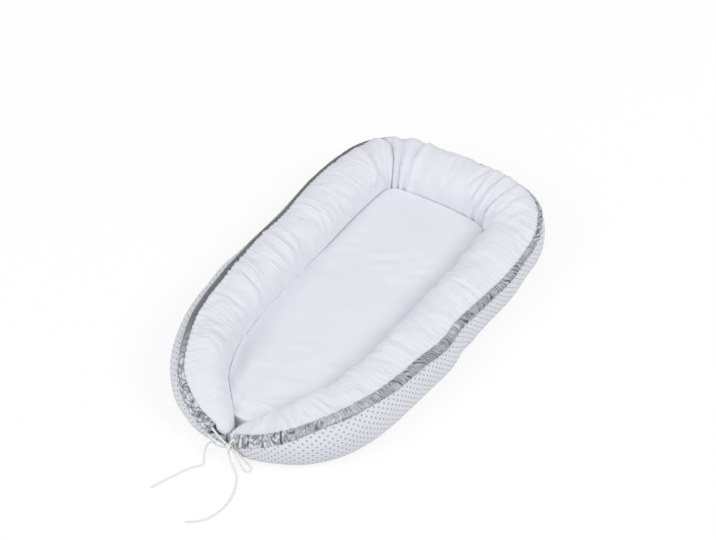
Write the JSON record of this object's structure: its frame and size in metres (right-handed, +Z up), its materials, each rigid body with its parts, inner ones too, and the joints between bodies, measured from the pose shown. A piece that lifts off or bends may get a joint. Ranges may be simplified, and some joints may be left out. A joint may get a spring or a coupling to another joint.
{
  "type": "infant lounger",
  "caption": "Baby nest: soft stuffed roll bent to a U round a flat lying pad, dotted outer cloth, gathered grey cord tunnel on the outer edge and a cord tied in a bow at the foot.",
  "frame": {"origin": "on the floor under the middle of the nest, measured without the free cord", "axes": "+X to the nest's right arm as seen from the foot, +Y from the foot to the head, +Z up"},
  "size_m": [0.513, 1.0647, 0.1046],
  "materials": {
    "white_cloth": "matte white cotton, gathered",
    "dotted_cloth": "matte white cotton with a grid of small grey dots",
    "grey_cloth": "gathered grey cotton with a slight sheen",
    "white_cord": "white braided cotton cord",
    "fibre": "soft fibre filling"
  },
  "bodies": {
    "root": {"bolster_filling": "fibre", "bolster_lining": "white_cloth", "outer_cover": "dotted_cloth", "base_cloth": "dotted_cloth", "floor_cloth": "white_cloth", "mattress_pad": "fibre", "tunnel_strip_short": "grey_cloth", "tunnel_strip_long": "grey_cloth", "drawcord": "white_cord", "cord_run_left": "white_cord", "cord_run_right": "white_cord", "bow_loop_left": "white_cord", "bow_loop_right": "white_cord", "cord_tail_left": "white_cord", "cord_tail_right": "white_cord", "bow_knot": "white_cord"}
  },
  "joints": []
}
